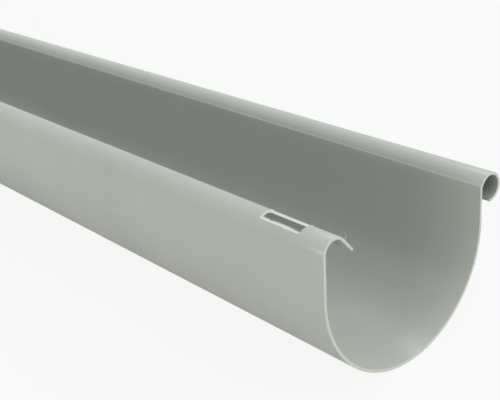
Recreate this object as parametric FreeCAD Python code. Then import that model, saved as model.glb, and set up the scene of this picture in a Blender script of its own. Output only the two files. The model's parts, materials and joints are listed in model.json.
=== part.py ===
import FreeCAD, Part
import os
from math import atan2, cos, degrees, radians, sin

# Half-round eaves gutter: one sawn length of extruded rigid PVC.
#
# The section is a single wall of even thickness. Going round it from the front: a free edge that
# curls outwards and under into a tubular bead, a short front wall, the half-round channel, a rear
# wall that stands higher than the bead, and a lip that hooks over inwards and slopes down over
# the channel. A slot is milled through the lip's crown near one end.
#
# X runs along the gutter, the bead is on the -Y side and Z is up. The gutter lies on its
# half-round as it comes to rest on a level floor, with the origin on the floor under the middle
# of its bounding box. All sizes are in millimetres and degrees.

LENGTH = 2000.0       # one sold length

BODY_WIDTH = 125.0    # over the outside of the half-round: the nominal size
WALL = 1.6            # even all round the section

BEAD_DIAMETER = 17.6  # over the outside of the curl
BEAD_HEIGHT = 20.55   # bead's axis above the half-round's axis
BEAD_TURN = 273.0     # how far the wall curls round to its free edge
FRONT_LEAN = 1.6      # the front wall leans in over the channel

LIP_HEIGHT = 32.0     # lip's crest above the half-round's axis
LIP_WIDTH = 16.0      # over the outside of the hook's bend
LIP_SLOPE = 48.5      # fall of the lip's flat, below level
LIP_FLAT = 10.3       # length of the flat past the bend

SLOT_SETBACK = 19.0   # from the end of the gutter to the slot
SLOT_LENGTH = 28.0    # along the gutter
SLOT_DEPTH = 2.4      # below the lip's crest, deep enough to open its crown

# radii of the wall's middle surface in each bend
round_radius = (BODY_WIDTH - WALL) / 2
bead_radius = (BEAD_DIAMETER - WALL) / 2
lip_radius = (LIP_WIDTH - WALL) / 2

# straight runs between the bends, from the heights above the half-round's axis
lean_rise = (round_radius + bead_radius) * sin(radians(FRONT_LEAN))
front_wall = (BEAD_HEIGHT - lean_rise) / cos(radians(FRONT_LEAN))
rear_wall = LIP_HEIGHT - LIP_WIDTH / 2


def toward(heading):
    """Unit vector in the section's plane, for a heading turned from +Y towards +Z."""
    return FreeCAD.Vector(0, cos(radians(heading)), sin(radians(heading)))


def flat_run(place, heading, length):
    """Straight run of wall: its left and right edges, where it ends and its heading there."""
    edges = []
    for side in (90, -90):
        start = place + toward(heading + side) * (WALL / 2)
        edges.append(Part.makeLine(start, start + toward(heading) * length))
    return edges, place + toward(heading) * length, heading


def bent_run(place, heading, radius, turn):
    """Bent run of wall, to the left for a positive turn: as flat_run gives a straight one."""
    inward = 90 if turn > 0 else -90
    axis = place + toward(heading + inward) * radius
    edges = []
    for reach in (radius - WALL / 2, radius + WALL / 2):
        arc = [axis + toward(heading - inward + turn * part) * reach for part in (0, 0.5, 1)]
        edges.append(Part.Arc(*arc).toShape())
    return edges, axis + toward(heading - inward + turn) * radius, heading + turn


def free_edge(place, heading):
    """Rounded edge where the wall ends."""
    left, tip, right = (place + toward(heading + side) * (WALL / 2) for side in (90, 0, -90))
    return Part.Arc(left, tip, right).toShape()


def follow(place, heading, runs):
    """Edges of a wall that goes from a place through straight and bent runs to a free edge."""
    outline = []
    for run, *sizes in runs:
        edges, place, heading = run(place, heading, *sizes)
        outline += edges
    return outline + [free_edge(place, heading)]


def section():
    """Face of the whole section, upright, with the half-round's axis at the origin."""
    up, down = 90, -90
    springing = FreeCAD.Vector(0, round_radius, 0)  # where the half-round meets the rear wall
    rear = follow(springing, up, [
        (flat_run, rear_wall),
        (bent_run, lip_radius, 90 + LIP_SLOPE),
        (flat_run, LIP_FLAT),
    ])
    front = follow(springing, down, [
        (bent_run, round_radius, -180 - FRONT_LEAN),
        (flat_run, front_wall),
        (bent_run, bead_radius, BEAD_TURN),
    ])
    return Part.Face(Part.Wire(Part.sortEdges(rear + front)[0]))


def milled_slot():
    """Cutter that planes the crown off the lip's bend over the slot's length."""
    corner = FreeCAD.Vector(SLOT_SETBACK, BODY_WIDTH / 2 - LIP_WIDTH, LIP_HEIGHT - SLOT_DEPTH)
    past_the_crest = 2 * SLOT_DEPTH
    return Part.makeBox(SLOT_LENGTH, LIP_WIDTH, past_the_crest, corner)


def at_rest(gutter):
    """The gutter rolled on its half-round until its weight hangs straight below the axis."""
    weight = gutter.CenterOfMass
    roll = degrees(atan2(-weight.y, -weight.z))
    gutter.rotate(FreeCAD.Vector(0, 0, 0), FreeCAD.Vector(1, 0, 0), roll)
    box = gutter.optimalBoundingBox(False, False)
    gutter.translate(FreeCAD.Vector(-box.Center.x, -box.Center.y, BODY_WIDTH / 2))
    return gutter


def build():
    length = section().extrude(FreeCAD.Vector(LENGTH, 0, 0))
    return at_rest(length.cut(milled_slot()).Solids[0])


gutter = build()
os.makedirs("parts", exist_ok=True)
gutter.exportStep("parts/gutter.step")

box = gutter.optimalBoundingBox(False, False)
print("gutter: %d solid, valid %s, %.0f mm3" % (len(gutter.Solids), gutter.isValid(), gutter.Volume))
print("size %.2f x %.2f x %.2f, foot at %.4f" % (box.XLength, box.YLength, box.ZLength, box.ZMin))
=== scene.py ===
import json
from math import atan2, cos, pi, radians, sin

import bpy
from mathutils import Matrix, Quaternion, Vector


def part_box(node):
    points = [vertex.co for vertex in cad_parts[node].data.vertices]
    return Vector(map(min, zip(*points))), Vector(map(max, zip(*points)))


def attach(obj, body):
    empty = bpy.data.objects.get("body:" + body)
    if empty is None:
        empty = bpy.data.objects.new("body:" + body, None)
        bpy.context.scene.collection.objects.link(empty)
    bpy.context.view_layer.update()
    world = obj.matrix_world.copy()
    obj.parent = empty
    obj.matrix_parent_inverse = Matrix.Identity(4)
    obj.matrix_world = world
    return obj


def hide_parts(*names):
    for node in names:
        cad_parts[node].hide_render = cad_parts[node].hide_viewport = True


# A sawn length of half-round eaves gutter in extruded rigid PVC. Its wall is followed round the
# section from the rear wall: up over the hooked lip, and down through the channel to the rolled
# front bead. It is modelled upright, with the half-round's axis along X at the origin, and is
# rolled last to where it rests, on its round and leaning towards the heavier bead. Sizes are in
# metres.

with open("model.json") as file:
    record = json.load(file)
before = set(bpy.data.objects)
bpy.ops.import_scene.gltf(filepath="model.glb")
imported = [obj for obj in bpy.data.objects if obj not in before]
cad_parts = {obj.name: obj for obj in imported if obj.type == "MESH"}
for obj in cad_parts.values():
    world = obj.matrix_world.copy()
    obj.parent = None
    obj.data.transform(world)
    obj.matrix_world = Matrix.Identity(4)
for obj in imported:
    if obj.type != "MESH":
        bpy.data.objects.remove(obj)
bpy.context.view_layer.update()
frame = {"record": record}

MM = 0.001
ALONG = Vector((1, 0, 0))
TOUCHING = 0.01 * MM         # two places closer than this are one

BODY_WIDTH = 125.0 * MM      # over the outside of the half-round
WALL = 1.6 * MM

BEAD_DIAMETER = 17.6 * MM    # over the outside of the curl
BEAD_HEIGHT = 20.55 * MM     # bead's axis above the half-round's axis
BEAD_TURN = radians(273.0)   # how far the wall curls round to its free edge
FRONT_LEAN = radians(1.6)    # the front wall leans in over the channel

LIP_HEIGHT = 32.0 * MM       # lip's crest above the half-round's axis
LIP_WIDTH = 16.0 * MM        # over the outside of the hook's bend
LIP_SLOPE = radians(48.5)    # fall of the lip's flat, below level
LIP_FLAT = 10.3 * MM         # length of the flat past the bend

SLOT_SETBACK = 19.0 * MM     # from the near end to the slot
SLOT_LENGTH = 28.0 * MM
SLOT_DEPTH = 2.4 * MM        # below the lip's crest

FREE_EDGE_STEPS = 6          # facets round the wall's rounded free edges
ROUND_STEPS = 96             # facets round each bend
BEAD_STEPS = 60
LIP_STEPS = 40
LENGTHS = 40                 # equal lengths that the wall is divided into
SLOT_MARGIN = 1.5 * MM       # from the slot's ends to the rings of edges beside them

BEAD_SHOULDER = 0.42 * MM    # how far the bead's foot stands out into the channel
SHOULDER_STEPS = 4           # facets of the bead that the shoulder rises over
SAW_BREAK = 0.12 * MM        # edges that the saw leaves, hardly broken
CUTTER_OVERRUN = 0.8 * MM    # past the slot's far end, at the slot's floor
CUTTER_SLANT = 1.6 * MM      # how much further the far end leans out, at the cutter's top
RAGGED = 0.45 * MM           # how far the slot's torn edge wanders
TEARS = 13                   # points that it wanders at
BURR_HEIGHT = 0.3 * MM       # plastic that the cutter pushed up at the slot's ends
SWARF_LENGTH = 2.4 * MM      # a whisker that the saw left standing
SWARF_WIDTH = 0.36 * MM      # at its foot
SWARF_PLACE = 1.9 * MM       # down the lip's flat from its bend
SWARF_SETBACK = 0.35 * MM    # from the sawn end
SWARF_SUNK = 0.1 * MM        # its foot is in the lip

# the wall's middle surface
round_radius = (BODY_WIDTH - WALL) / 2
bead_radius = (BEAD_DIAMETER - WALL) / 2
lip_radius = (LIP_WIDTH - WALL) / 2
lean_rise = (round_radius + bead_radius) * sin(FRONT_LEAN)
front_wall = (BEAD_HEIGHT - lean_rise) / cos(FRONT_LEAN)
rear_wall = LIP_HEIGHT - LIP_WIDTH / 2
lip_axis = Vector((0, round_radius - lip_radius, rear_wall))
bead_axis = Vector((
    0,
    front_wall * sin(FRONT_LEAN) - (round_radius + bead_radius) * cos(FRONT_LEAN),
    BEAD_HEIGHT,
))

low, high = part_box("gutter")
near, far = low.x, high.x
length = far - near
slot_start = near + SLOT_SETBACK
slot_end = slot_start + SLOT_LENGTH
slot_floor = LIP_HEIGHT - SLOT_DEPTH

mounts = {mount["name"]: Vector(mount["pos_m"]) for mount in frame["record"]["mounts"]}


# ---- finishes -------------------------------------------------------------------------------

def colour(hex_code):
    """sRGB hex to the linear colour that a shader takes."""
    channels = [int(hex_code[i:i + 2], 16) / 255 for i in (1, 3, 5)]
    return [c / 12.92 if c <= 0.04045 else ((c + 0.055) / 1.055) ** 2.4 for c in channels] + [1]


def add_node(tree, kind, settings=None, links=None):
    """One node: settings go to its properties or its inputs, links join its inputs to outputs."""
    node = tree.nodes.new(kind)
    for name, value in (settings or {}).items():
        if isinstance(name, str) and hasattr(node, name):
            setattr(node, name, value)
        else:
            node.inputs[name].default_value = value
    for name, output in (links or {}).items():
        tree.links.new(output, node.inputs[name])
    return node


def new_material(name):
    """An empty material and its node tree."""
    material = bpy.data.materials.new(name)
    material.use_nodes = True
    material.node_tree.nodes.clear()
    return material, material.node_tree


def extruded_pvc(name, dark, light):
    """Rigid PVC-U, through-coloured light grey and extruded: an even satin skin with a soft, wide
    highlight, faint lengthwise lines where it left the die, and slow clouding of the colour."""
    material, tree = new_material(name)
    place = add_node(tree, "ShaderNodeTexCoord")
    die_line_spacing = 2.5 * MM
    line_length = 400 * MM
    along_die = add_node(tree, "ShaderNodeMapping", {
        "Scale": (1 / line_length, 1 / die_line_spacing, 1 / die_line_spacing),
    }, {"Vector": place.outputs["Object"]})
    die_lines = add_node(tree, "ShaderNodeTexNoise", {
        "Scale": 1.0, "Detail": 2.0, "Roughness": 0.6,
    }, {"Vector": along_die.outputs["Vector"]})
    cloud_size = 70 * MM
    clouds = add_node(tree, "ShaderNodeTexNoise", {
        "Scale": 1 / cloud_size, "Detail": 3.0, "Roughness": 0.55,
    }, {"Vector": place.outputs["Object"]})
    tint = add_node(tree, "ShaderNodeValToRGB", None, {"Fac": clouds.outputs["Fac"]})
    tint.color_ramp.elements[0].position = 0.3
    tint.color_ramp.elements[0].color = colour(dark)
    tint.color_ramp.elements[1].position = 0.7
    tint.color_ramp.elements[1].color = colour(light)
    gloss = add_node(tree, "ShaderNodeMapRange", {
        "To Min": 0.26, "To Max": 0.34,
    }, {"Value": die_lines.outputs["Fac"]})
    relief = add_node(tree, "ShaderNodeBump", {
        "Strength": 0.12, "Distance": 0.05 * MM,
    }, {"Height": die_lines.outputs["Fac"]})
    skin = add_node(tree, "ShaderNodeBsdfPrincipled", {"IOR": 1.53}, {
        "Base Color": tint.outputs["Color"],
        "Roughness": gloss.outputs["Result"],
        "Normal": relief.outputs["Normal"],
    })
    add_node(tree, "ShaderNodeOutputMaterial", None, {"Surface": skin.outputs["BSDF"]})
    return material


def sawn_pvc():
    """The same PVC-U where a saw or a cutter went through it: paler, chalky and without gloss,
    roughened by the teeth."""
    material, tree = new_material("sawn_rigid_pvc")
    place = add_node(tree, "ShaderNodeTexCoord")
    tooth_mark_spacing = 0.9 * MM  # coarser than the real 0.3 mm, which would not show
    marks = add_node(tree, "ShaderNodeTexNoise", {
        "Scale": 1 / tooth_mark_spacing, "Detail": 2.0,
    }, {"Vector": place.outputs["Object"]})
    tint = add_node(tree, "ShaderNodeValToRGB", None, {"Fac": marks.outputs["Fac"]})
    tint.color_ramp.elements[0].position = 0.35
    tint.color_ramp.elements[0].color = colour("#C9CABF")
    tint.color_ramp.elements[1].position = 0.7
    tint.color_ramp.elements[1].color = colour("#D7D8CE")
    relief = add_node(tree, "ShaderNodeBump", {
        "Strength": 0.4, "Distance": 0.1 * MM,
    }, {"Height": marks.outputs["Fac"]})
    skin = add_node(tree, "ShaderNodeBsdfPrincipled", {"IOR": 1.53, "Roughness": 0.75}, {
        "Base Color": tint.outputs["Color"],
        "Normal": relief.outputs["Normal"],
    })
    add_node(tree, "ShaderNodeOutputMaterial", None, {"Surface": skin.outputs["BSDF"]})
    return material


# ---- the gutter -----------------------------------------------------------------------------

def select(piece, kind, wanted):
    """Selects only the wanted edges or polygons of the active piece, and leaves it in edit mode."""
    bpy.ops.object.mode_set(mode="OBJECT")
    mesh = piece.data
    chosen = [item.index for item in getattr(mesh, kind) if wanted(item)]
    for group in (mesh.vertices, mesh.edges, mesh.polygons):
        group.foreach_set("select", [False] * len(group))
    for index in chosen:
        getattr(mesh, kind)[index].select = True
    bpy.ops.object.mode_set(mode="EDIT")
    bpy.ops.mesh.select_mode(type="EDGE" if kind == "edges" else "FACE")


def ends_of(mesh, edge):
    return [mesh.vertices[i].co for i in edge.vertices]


def runs_through(mesh, y, z):
    """Test for the lengthwise edges at one place of the section."""
    return lambda edge: all(
        abs(end.y - y) < TOUCHING and abs(end.z - z) < TOUCHING for end in ends_of(mesh, edge))


def sharp_edges(gutter):
    """The edges that turn more than 60 degrees, as numbers in the mesh."""
    bpy.ops.object.mode_set(mode="EDIT")
    bpy.ops.mesh.select_mode(type="EDGE")
    bpy.ops.mesh.select_all(action="DESELECT")
    bpy.ops.mesh.edges_select_sharp(sharpness=radians(60))
    bpy.ops.object.mode_set(mode="OBJECT")
    return {edge.index for edge in gutter.data.edges if edge.select}


def middle_surface():
    """The wall with no thickness yet: the rear wall's plane, spun and extruded both ways."""
    bpy.ops.object.select_all(action="DESELECT")
    bpy.ops.mesh.primitive_plane_add(
        size=1, location=((near + far) / 2, round_radius, rear_wall / 2), rotation=(pi / 2, 0, 0))
    gutter = bpy.context.object
    gutter.name = "gutter_section"
    gutter.scale = (length, rear_wall, 1)
    bpy.ops.object.transform_apply(location=True, rotation=True, scale=True)
    mesh = gutter.data

    select(gutter, "edges", runs_through(mesh, round_radius, rear_wall))
    bpy.ops.mesh.spin(steps=LIP_STEPS, angle=-(pi / 2 + LIP_SLOPE), center=lip_axis, axis=ALONG)
    bpy.ops.mesh.extrude_region_move(TRANSFORM_OT_translate={
        "value": (0, -LIP_FLAT * cos(LIP_SLOPE), -LIP_FLAT * sin(LIP_SLOPE))})

    select(gutter, "edges", runs_through(mesh, round_radius, 0))
    bpy.ops.mesh.spin(steps=ROUND_STEPS, angle=pi + FRONT_LEAN, center=(0, 0, 0), axis=ALONG)
    bpy.ops.mesh.extrude_region_move(TRANSFORM_OT_translate={
        "value": (0, front_wall * sin(FRONT_LEAN), front_wall * cos(FRONT_LEAN))})
    bpy.ops.mesh.spin(steps=BEAD_STEPS, angle=-BEAD_TURN, center=bead_axis, axis=ALONG)

    bpy.ops.mesh.select_all(action="SELECT")
    bpy.ops.mesh.remove_doubles(threshold=TOUCHING)
    bpy.ops.mesh.normals_make_consistent(inside=False)
    bpy.ops.object.mode_set(mode="OBJECT")
    return gutter


def raise_shoulder(gutter):
    """The bead's first facets stand out towards the channel, in a soft shoulder at its foot."""
    for step in range(1, SHOULDER_STEPS + 1):
        turned = BEAD_TURN * step / BEAD_STEPS - FRONT_LEAN
        place = bead_axis + bead_radius * Vector((0, cos(turned), sin(turned)))
        select(gutter, "edges", runs_through(gutter.data, place.y, place.z))
        bpy.ops.transform.translate(value=(0, BEAD_SHOULDER * step / SHOULDER_STEPS, 0))
    bpy.ops.object.mode_set(mode="OBJECT")


def divide_along(gutter):
    """Rings of edges across the length, with one more just outside each end of the slot."""
    places = [near + length * ring / LENGTHS for ring in range(1, LENGTHS)]
    places += [slot_start - SLOT_MARGIN, slot_end + CUTTER_SLANT + SLOT_MARGIN]
    for place in sorted(places):
        bpy.ops.object.mode_set(mode="EDIT")
        bpy.ops.mesh.select_all(action="SELECT")
        bpy.ops.mesh.bisect(plane_co=(place, 0, 0), plane_no=ALONG)
    bpy.ops.object.mode_set(mode="OBJECT")


def thicken(gutter):
    """Half the wall's thickness to each side of its middle surface."""
    wall = gutter.modifiers.new("wall", "SOLIDIFY")
    wall.thickness = WALL
    wall.offset = 0
    wall.use_even_offset = True
    bpy.ops.object.modifier_apply(modifier=wall.name)


def round_free_edges(gutter):
    """Half rounds on the two edges where the wall ends: the curl's and the lip's."""
    mesh = gutter.data
    sharp = sharp_edges(gutter)

    def runs_along(edge):
        start, end = ends_of(mesh, edge)
        return edge.index in sharp and abs((end - start).normalized().x) > 0.99

    select(gutter, "edges", runs_along)
    almost_half = 0.49  # the two bevels of an edge may not meet
    bpy.ops.mesh.bevel(offset=almost_half * WALL, segments=FREE_EDGE_STEPS, profile=0.5)
    bpy.ops.object.mode_set(mode="OBJECT")


def mill_slot(gutter):
    """Planes the crown off the lip's bend over the slot's length, with a cutter block whose far
    end slants up and out."""
    cutter_height = 2 * SLOT_DEPTH
    overrun = slot_end + CUTTER_OVERRUN
    bpy.ops.object.select_all(action="DESELECT")
    bpy.ops.mesh.primitive_cube_add(size=1, location=(
        (slot_start + overrun) / 2, lip_axis.y, slot_floor + cutter_height / 2))
    cutter = bpy.context.object
    cutter.scale = (overrun - slot_start, LIP_WIDTH, cutter_height)
    bpy.ops.object.transform_apply(location=True, rotation=True, scale=True)

    def top_of_far_end(edge):
        return all(
            abs(place.x - overrun) < TOUCHING and place.z > slot_floor + SLOT_DEPTH
            for place in ends_of(cutter.data, edge))

    select(cutter, "edges", top_of_far_end)
    bpy.ops.transform.translate(value=(CUTTER_SLANT, 0, 0))
    bpy.ops.object.mode_set(mode="OBJECT")
    bpy.ops.object.select_all(action="DESELECT")
    bpy.context.view_layer.objects.active = gutter
    gutter.select_set(True)
    cut = gutter.modifiers.new("slot", "BOOLEAN")
    cut.operation = "DIFFERENCE"
    cut.solver = "EXACT"
    cut.object = cutter
    bpy.ops.object.modifier_apply(modifier=cut.name)
    bpy.data.objects.remove(cutter)


def tear_slot_edges(gutter):
    """The cutter tore the plastic: the opening's rear edge is ragged, and a burr stands on the
    skin at each end of the slot, on the side towards the channel."""
    mesh = gutter.data
    inside = lip_radius - WALL / 2
    outside = lip_radius + WALL / 2
    rise = slot_floor - lip_axis.z
    opening_rear = lip_axis.y + (inside ** 2 - rise ** 2) ** 0.5
    facet_depth = 0.1 * MM  # how far the facets lie from the true round, at most
    burr_start = 1.5 * MM   # from the lip's axis towards the channel
    burr_end = 4.5 * MM
    up_and_over = Vector((0, -0.4, 0.9))

    def on_torn_edge(edge):
        start, end = ends_of(mesh, edge)
        return abs(end.x - start.x) > SLOT_LENGTH / 6 and all(
            abs(place.z - slot_floor) < TOUCHING and abs(place.y - opening_rear) < facet_depth
            for place in (start, end))

    select(gutter, "edges", on_torn_edge)
    bpy.ops.mesh.subdivide(number_cuts=TEARS)
    bpy.ops.transform.vertex_random(offset=RAGGED, uniform=0.3, normal=0, seed=5)

    def on_burr(edge):
        return all(
            slot_start - TOUCHING < place.x < slot_end + CUTTER_SLANT
            and place.z > slot_floor + TOUCHING
            and burr_start < lip_axis.y - place.y < burr_end
            and abs((place - lip_axis).yz.length - outside) < facet_depth
            for place in ends_of(mesh, edge))

    select(gutter, "edges", on_burr)
    bpy.ops.transform.translate(value=BURR_HEIGHT * up_and_over)
    bpy.ops.object.mode_set(mode="OBJECT")


def break_sawn_edges(gutter):
    """The edges round both sawn ends, taken off by a breath."""
    mesh = gutter.data
    sharp = sharp_edges(gutter)

    def round_an_end(edge):
        return edge.index in sharp and all(
            min(abs(place.x - near), abs(place.x - far)) < TOUCHING
            for place in ends_of(mesh, edge))

    select(gutter, "edges", round_an_end)
    bpy.ops.mesh.bevel(offset=SAW_BREAK, segments=2, profile=0.5)
    bpy.ops.object.mode_set(mode="OBJECT")


def finish_surfaces(gutter, sawn):
    """Extruded skin all over, a darker copy of it lining the bead's bore as painted shade, and the
    sawn finish on the ends and in the slot."""
    gutter.data.materials.append(extruded_pvc("extruded_rigid_pvc", "#ABAEA7", "#B0B3AB"))
    # painted shade: a darker copy of the skin for the bead's bore, standing in for the shade inside
    # it
    gutter.data.materials.append(extruded_pvc("grimed_rigid_pvc", "#959892", "#999C95"))
    gutter.data.materials.append(sawn)

    # the faces inside the bead that take the painted shade
    def lines_the_bore(face):
        return (face.center - bead_axis).yz.length < bead_radius - WALL / 4

    def cut_through(face):
        faces_along = abs(face.normal.x) > 0.3  # the sawn ends and the slot's two ends
        in_slot = slot_start < face.center.x < slot_end + CUTTER_OVERRUN
        level = abs(face.center.z - slot_floor) < 0.2 * MM and face.normal.z > 0.9
        return faces_along or (in_slot and level)

    for index, wanted in ((1, lines_the_bore), (2, cut_through)):
        select(gutter, "polygons", wanted)
        gutter.active_material_index = index
        bpy.ops.object.material_slot_assign()
    bpy.ops.object.mode_set(mode="OBJECT")
    bpy.ops.object.shade_smooth_by_angle(angle=radians(35))


def roll_to_rest(piece):
    """Rolls what was made upright so that its bead and lip lie where the frame's do."""
    upright = lip_axis - bead_axis
    resting = mounts["rear_lip"] - mounts["front_bead"]
    roll = atan2(resting.z, resting.y) - atan2(upright.z, upright.y)
    turned = Matrix.Rotation(roll, 3, "X") @ bead_axis
    piece.rotation_euler.x = roll
    piece.location = (0, mounts["front_bead"].y - turned.y, mounts["front_bead"].z - turned.z)
    bpy.ops.object.transform_apply(location=True, rotation=True, scale=True)


def hang_swarf(sawn):
    """A whisker of swarf that the saw left standing on the lip's flat at the near end: a ring
    drawn out, thinned and bent over at each step, and pinched shut at its tip."""
    out_of_flat = Vector((0, -sin(LIP_SLOPE), cos(LIP_SLOPE)))
    down_flat = Vector((0, -cos(LIP_SLOPE), -sin(LIP_SLOPE)))
    foot = lip_axis + (lip_radius + WALL / 2) * out_of_flat + SWARF_PLACE * down_flat
    bpy.ops.object.select_all(action="DESELECT")
    bpy.ops.mesh.primitive_circle_add(
        vertices=8, radius=SWARF_WIDTH / 2, fill_type="NGON",
        location=(near + SWARF_SETBACK, foot.y, foot.z - SWARF_SUNK))
    whisker = bpy.context.object
    whisker.name = "saw_whisker"
    bpy.ops.object.transform_apply(location=True, rotation=True, scale=True)
    bpy.ops.object.mode_set(mode="EDIT")
    bpy.ops.mesh.select_all(action="SELECT")
    bends = (0.1, 0.45, 0.8, 1.0, 0.7, 0.3)  # how far each step leans over
    thinner = 0.87
    step = SWARF_LENGTH / len(bends)
    for bend in bends:
        bpy.ops.mesh.extrude_region_move(TRANSFORM_OT_translate={
            "value": (0.5 * step * bend, -step * bend, step)})
        bpy.ops.transform.resize(value=(thinner, thinner, thinner))
    bpy.ops.mesh.merge(type="CENTER")
    bpy.ops.mesh.select_all(action="SELECT")
    bpy.ops.mesh.normals_make_consistent(inside=False)
    bpy.ops.object.mode_set(mode="OBJECT")
    bpy.ops.object.shade_smooth_by_angle(angle=radians(60))
    whisker.data.materials.append(sawn)
    roll_to_rest(whisker)
    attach(whisker, "root")


def make_gutter(sawn):
    """The whole length: its wall, then what was cut into it, then its finishes and its rest."""
    gutter = middle_surface()
    raise_shoulder(gutter)
    divide_along(gutter)
    thicken(gutter)
    round_free_edges(gutter)
    mill_slot(gutter)
    tear_slot_edges(gutter)
    break_sawn_edges(gutter)
    finish_surfaces(gutter, sawn)
    roll_to_rest(gutter)
    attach(gutter, "root")
    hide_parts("gutter")


# ---- the studio -----------------------------------------------------------------------------

def white_share(tree, straight, mirrored):
    """How much plain white stands in for what is behind the gutter: one share where it is seen
    straight, another where it shows in a gloss, and none where it lights other things."""
    path = add_node(tree, "ShaderNodeLightPath")
    itself = add_node(tree, "ShaderNodeMath", {"operation": "MULTIPLY", 1: straight}, {
        0: path.outputs["Is Camera Ray"],
    })
    either = add_node(tree, "ShaderNodeMath", {"operation": "MAXIMUM"}, {
        0: path.outputs["Is Glossy Ray"],
        1: path.outputs["Is Transmission Ray"],
    })
    reflected = add_node(tree, "ShaderNodeMath", {"operation": "MULTIPLY", 1: mirrored}, {
        0: either.outputs["Value"],
    })
    share = add_node(tree, "ShaderNodeMath", {"operation": "MAXIMUM"}, {
        0: itself.outputs["Value"],
        1: reflected.outputs["Value"],
    })
    return share.outputs["Value"]


def floor_paper():
    """Pale paper sweep, matt. The camera sees it near white, with the soft shadow left in."""
    material, tree = new_material("pale_paper")
    place = add_node(tree, "ShaderNodeTexCoord")
    fibre_cloud = 25 * MM
    clouds = add_node(tree, "ShaderNodeTexNoise", {"Scale": 1 / fibre_cloud}, {
        "Vector": place.outputs["Object"],
    })
    tint = add_node(tree, "ShaderNodeValToRGB", None, {"Fac": clouds.outputs["Fac"]})
    tint.color_ramp.elements[0].color = colour("#BABAB8")
    tint.color_ramp.elements[1].color = colour("#BEBEBC")
    paper = add_node(tree, "ShaderNodeBsdfDiffuse", None, {"Color": tint.outputs["Color"]})
    bright = add_node(tree, "ShaderNodeEmission", {"Strength": 1.0})
    seen = add_node(tree, "ShaderNodeMixShader", None, {
        0: white_share(tree, 0.9, 0.25),
        1: paper.outputs["BSDF"],
        2: bright.outputs["Emission"],
    })
    add_node(tree, "ShaderNodeOutputMaterial", None, {"Surface": seen.outputs["Shader"]})
    return material


def make_floor():
    """A sweep so wide that its edges are far off."""
    bpy.ops.object.select_all(action="DESELECT")
    bpy.ops.mesh.primitive_plane_add(size=80, location=(0, 0, low.z))
    floor = bpy.context.object
    floor.name = "floor"
    bpy.ops.object.transform_apply(location=True, rotation=True, scale=True)
    floor.data.materials.append(floor_paper())


def softbox(name, place, size, power, tint="#FFFFFF"):
    """A soft rectangular lamp, turned to the nearer part of the gutter."""
    middle = Vector((-0.7, 0, 0.06))
    bpy.ops.object.light_add(type="AREA", location=place)
    lamp = bpy.context.object
    lamp.name = name
    lamp.data.shape = "RECTANGLE"
    lamp.data.size, lamp.data.size_y = size
    lamp.data.energy = power
    lamp.data.color = colour(tint)[:3]
    lamp.rotation_euler = (middle - Vector(place)).to_track_quat("-Z", "Y").to_euler()


def make_lights():
    """Weak soft lamps that model the gutter's curves."""
    softbox("front_overhead", (-0.7, -1.6, 1.9), (2.4, 1.2), 20)
    softbox("rear_low", (-0.9, 2.6, 0.5), (2.4, 0.8), 29, "#FFFCF4")
    softbox("near_end", (-2.6, -0.8, 1.4), (1.4, 1.0), 20)


def make_surroundings():
    """A soft even daylight from all round, and plain white behind."""
    world = bpy.data.worlds.new("studio")
    bpy.context.scene.world = world
    world.use_nodes = True
    tree = world.node_tree
    tree.nodes.clear()
    around = add_node(tree, "ShaderNodeBackground", {"Color": colour("#F6FBFF"), "Strength": 0.64})
    behind = add_node(tree, "ShaderNodeBackground", {"Color": colour("#FFFFFF"), "Strength": 1.0})
    seen = add_node(tree, "ShaderNodeMixShader", None, {
        0: white_share(tree, 1.0, 1.0),
        1: around.outputs["Background"],
        2: behind.outputs["Background"],
    })
    add_node(tree, "ShaderNodeOutputWorld", None, {"Surface": seen.outputs["Shader"]})


def make_camera():
    """Over the near end, on the rear side, and rolled so that the gutter stands about upright."""
    place = Vector((-1.2984, 0.3189, 0.3566))
    aim = Vector((-0.8619, 0.0003, 0.0526))
    roll = Quaternion((0, 0, 1), radians(-12.23))
    data = bpy.data.cameras.new("camera")
    data.sensor_width = 36
    data.lens = 70.67
    camera = bpy.data.objects.new("camera", data)
    camera.location = place
    camera.rotation_euler = ((aim - place).to_track_quat("-Z", "Y") @ roll).to_euler()
    bpy.context.scene.collection.objects.link(camera)
    bpy.context.scene.camera = camera


make_camera()
sawn_finish = sawn_pvc()
make_gutter(sawn_finish)
hang_swarf(sawn_finish)
make_floor()
make_lights()
make_surroundings()
bpy.context.scene.view_settings.view_transform = "Standard"
